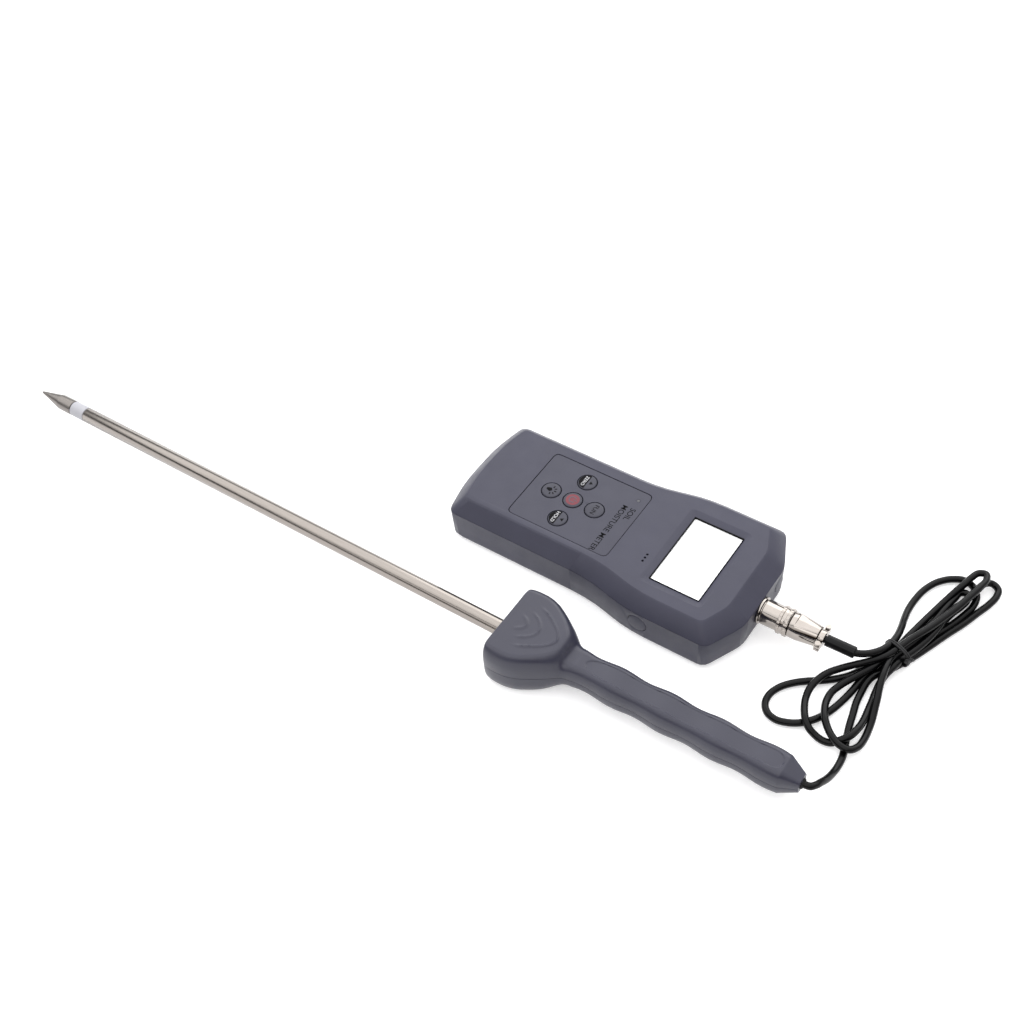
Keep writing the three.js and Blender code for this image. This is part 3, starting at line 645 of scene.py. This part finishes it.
def print_lamp_key():
    body = "button_backlight_body"
    centre = key_centre("button_backlight")
    lamp = around(centre, [(-2.6, -0.5), (-0.4, -1.3), (0.5, 0), (-0.4, 1.3), (-2.6, 0.5)])
    flat_shape("lamp_mark", lamp, INK_Z, MAT["black_ink_and_painted_shade"], body)
    for i in range(5):
        turn = math.radians(-80 + 40 * i)
        way = Vector((math.cos(turn), math.sin(turn)))
        side = Vector((-way.y, way.x)) * 0.28
        near, far = way * 1.7, way * 2.9
        ray = around(centre, [near - side, far - side, far + side, near + side])
        flat_shape(f"lamp_ray_{i + 1}", ray, INK_Z, MAT["black_ink_and_painted_shade"], body)


def print_power_key():
    body = "button_power_body"
    centre = key_centre("button_power")
    field = arc(centre, 3.5, 0, 2 * math.pi - 0.12, 44)
    flat_shape("power_field", field, INK_Z - 0.02, MAT["key_red"], body)
    opening = math.radians(38)
    loop = band(centre, 1.5, 2.0, opening, 2 * math.pi - opening)
    flat_shape("power_ring", loop, INK_Z + 0.04, MAT["key_ring"], body)
    bar = around(centre, [(0.5, -0.22), (2.4, -0.22), (2.4, 0.22), (0.5, 0.22)])
    flat_shape("power_bar", bar, INK_Z + 0.04, MAT["key_ring"], body)


# ---- connector ----
def connector():
    """The metal pieces of the socket and the plug; returns those that go with the plug."""
    softened("socket_body", 0.12, MAT["nickel"], corner=30)
    made = []
    for node in ("coupling_ring", "plug_shell", "cord_clamp_top", "cord_clamp_base"):
        body = "ring_body" if node == "coupling_ring" else ROOT
        made.append(softened(node, 0.12, MAT["nickel"], body=body, corner=30))
    return made


# ---- probe ----
def turned_piece(name, profile, material, node):
    """One piece of the probe, turned about the probe's own axis."""
    mesh = lathe_x(profile, PROBE_Y, PROBE_Z)
    smooth(mesh, 40)
    publish(name, mesh, material, ROOT, (node,))


def probe():
    tube = [(-211.6, 3.75), (-211.6, 4.05), (-211.4, TUBE_R), (66, TUBE_R), (77, TUBE_R), (77, 3.75)]
    turned_piece("steel_tube", tube, MAT["steel"], "probe_tube")
    white_r = TUBE_R - 0.05
    white = [(-221.6, 3.9), (-221.4, white_r), (-212.1, white_r), (-211.9, 3.9)]
    turned_piece("white_ring", white, MAT["white"], "insulator_ring")
    tip = [
        (-247.4, 0.12), (-247.2, 0.4), (-246, 0.78), (-232.0, 4.03), (-231.2, TUBE_R), (-222.1, TUBE_R),
        (-221.9, 4.0),
    ]
    turned_piece("steel_point", tip, MAT["dark_steel"], "probe_tip")


# Cross-sections of the guard and the neck along X:
# [x, half width of the flat top, half width at mid height, height of the top, height of the underside].
GUARD_SECTIONS = [
    (67.9, 15.6, 19.8, 25.2, 0.8), (69, 17.2, 21.4, 26, 0), (73, 17.9, 22.3, 26, 0), (79, 17.8, 22.2, 26, 0),
    (84, 16.4, 21, 26, 0), (88, 14.1, 19.2, 26, 0), (92, 11.3, 16.9, 26, 0), (95, 8.5, 15, 26, 0.2),
    (97.5, 5.6, 13.4, 25.9, 0.8), (99.4, 3.0, 12, 25.4, 1.5), (100.8, 2.2, 11, 24.0, 2.4),
    (102, 2.6, 10.1, 22.0, 3.2), (103.2, 3.2, 9.3, 20.8, 4), (105.2, 3.6, 8.6, 20.3, 4.8),
    (108.4, 3.75, 8.1, 20.7, 5.1),
]
GUARD_TOP_Z = 26
GRIP_START_X, GRIP_END_X, HANDLE_END_X = 112.0, 213.0, 221.5
GRIP_STATIONS = 32
ROWS_PER_SECTION = 8
# The grip swells and narrows along X, and a share of its half width is flat on top.
GRIP_R, SWELL, SWELL_CREST_X, SWELL_PITCH = 7.9, 0.4, 128, 26
GRIP_FLAT = 0.47
CONE_END_R = 3.9
SHOULDER = [(0, 1), (0.38, 0.955), (0.72, 0.8), (0.93, 0.55), (1, 0.28), (1, 0)]
SHOULDER_STEPS = 5
SPLIT_HALF_GAP = 0.12
TOP_POINTS = 64
PANEL = {"start": 111.5, "stop": 212.0, "half": 4.3, "depth": 0.42, "edge": 0.35}
# Raised bows on the guard: [x of the apex, bend, power of the bend, half width].
BOWS = [(96, 0.166, 1.8, 12.3), (86, 0.103, 2.06, 7.9), (79.2, 0.31, 1.7, 4.4)]
BOW_HEIGHT, BOW_WIDTH = 0.5, 0.55


def through(rows, k, t):
    """Catmull-Rom between rows k and k + 1."""
    a, b, c, d = (rows[min(max(k + i, 0), len(rows) - 1)] for i in (-1, 0, 1, 2))
    made = []
    for p, q, r, s in zip(a, b, c, d):
        bend = (2 * p - 5 * q + 4 * r - s) * t * t
        twist = (3 * q - p - 3 * r + s) * t ** 3
        made.append(0.5 * (2 * q + (r - p) * t + bend + twist))
    return made


def step(value, low, high):
    t = min(1.0, max(0.0, (value - low) / (high - low)))
    return t * t * (3 - 2 * t)


def handle_rows():
    """Closely spaced cross-sections of the guard, the grip and its conical end."""
    grip = []
    for i in range(GRIP_STATIONS + 1):
        x = GRIP_START_X + (GRIP_END_X - GRIP_START_X) * i / GRIP_STATIONS
        r = GRIP_R + SWELL * math.cos((x - SWELL_CREST_X) * 2 * math.pi / SWELL_PITCH)
        grip.append((x, GRIP_FLAT * r, r, PROBE_Z + r, PROBE_Z - r))
    key_rows = GUARD_SECTIONS + grip
    rows = []
    for k in range(len(key_rows) - 1):
        for i in range(ROWS_PER_SECTION):
            x, flat, half, top, low = through(key_rows, k, i / ROWS_PER_SECTION)
            rows.append((x, flat, half, min(top, GUARD_TOP_Z), max(low, 0)))
    cone_x, _, cone_r, _, _ = key_rows[-1]
    for t in (0, 0.05, 0.1, 0.5, 0.9, 1):
        x = cone_x + (HANDLE_END_X - cone_x) * t
        r = cone_r + (CONE_END_R - cone_r) * t
        rows.append((x, GRIP_FLAT * r, r, PROBE_Z + r, PROBE_Z - r))
    return rows


def relief(x, y):
    """Height of the moulded detail on top of the handle at one point."""
    lift = 0.0
    for apex, bend, power, half in BOWS:
        reach = abs(y)
        line = apex - bend * reach ** power
        slope = bend * power * max(reach, 0.01) ** (power - 1)
        off = (x - line) / math.hypot(1, slope)
        lift += BOW_HEIGHT * math.exp(-(off / BOW_WIDTH) ** 2) * (1 - step(reach, half - 1.5, half + 0.6))
    side = PANEL["half"]
    along = max(PANEL["start"] + 2.2 * side - x, x - PANEL["stop"] + side, 0)
    shrink = 2.2 if x < (PANEL["start"] + PANEL["stop"]) / 2 else 1.0
    inside = side - math.hypot(along / shrink, y)
    return lift - PANEL["depth"] * step(inside, 0, PANEL["edge"])


def handle_half(up):
    """Upper or lower half of the handle, as one closed skin."""
    curve = [through(SHOULDER, k, i / SHOULDER_STEPS)
             for k in range(len(SHOULDER) - 1) for i in range(SHOULDER_STEPS)]
    curve.append(list(SHOULDER[-1]))
    rings = []
    for x, flat, half, top, low in handle_rows():
        height = (top if up else low) - PROBE_Z
        split = SPLIT_HALF_GAP if up else -SPLIT_HALF_GAP
        ring = []
        for out, share in reversed(curve[1:]):
            ring.append((flat + out * (half - flat), max(share, 0) * height))
        for i in range(TOP_POINTS + 1):
            ring.append((flat * (1 - 2 * i / TOP_POINTS), height))
        for out, share in curve[1:]:
            ring.append((-flat - out * (half - flat), max(share, 0) * height))
        placed = []
        for y, z in ring:
            z = max(z, split) if up else min(z, split)
            crown = relief(x, y) if up and z > 0.5 * height else 0
            placed.append(at(x, PROBE_Y + y, PROBE_Z + z + crown))
        rings.append(placed)
    mesh = skin(rings)
    smooth(mesh, 40)
    name = "handle_shell_top" if up else "handle_shell_base"
    return publish(name, mesh, MAT["grip"], ROOT, ("handle_upper",) if up else ("handle_lower",))


def carried_over():
    """The CAD nodes that show as they are get a finished material."""
    finish = {
        "shrink_sleeve": "sleeve", "plug_insert": "black", "clamp_screw_1": "nickel",
        "clamp_screw_2": "nickel", "socket_nut": "nickel", "socket_insert": "black", "switch_mat": "rubber",
        "indicator_light": "lamp", "main_board": "board", "sensor_board": "board", "display_frame": "black",
        "display_panel": "key", "beeper": "black", "battery_tray": "black", "contact_strip_end": "nickel",
        "contact_strip_inner": "nickel", "inner_sleeve": "white", "core_rod": "dark_steel",
        "tube_collar": "nickel", "cord_grommet": "rubber",
    }
    for i in range(4):
        finish[f"battery_{i + 1}"] = "cell"
        finish[f"housing_screw_{i + 1}"] = "screw"
    for i in range(2):
        finish[f"handle_screw_{i + 1}"] = "screw"
    for node, key in finish.items():
        for holder in bpy.data.objects[node].material_slots:
            holder.material = MAT[key]


make_materials()
camera()
cord(connector())
studio()
meter()
keys()
probe()
handle_half(True)
handle_half(False)
carried_over()
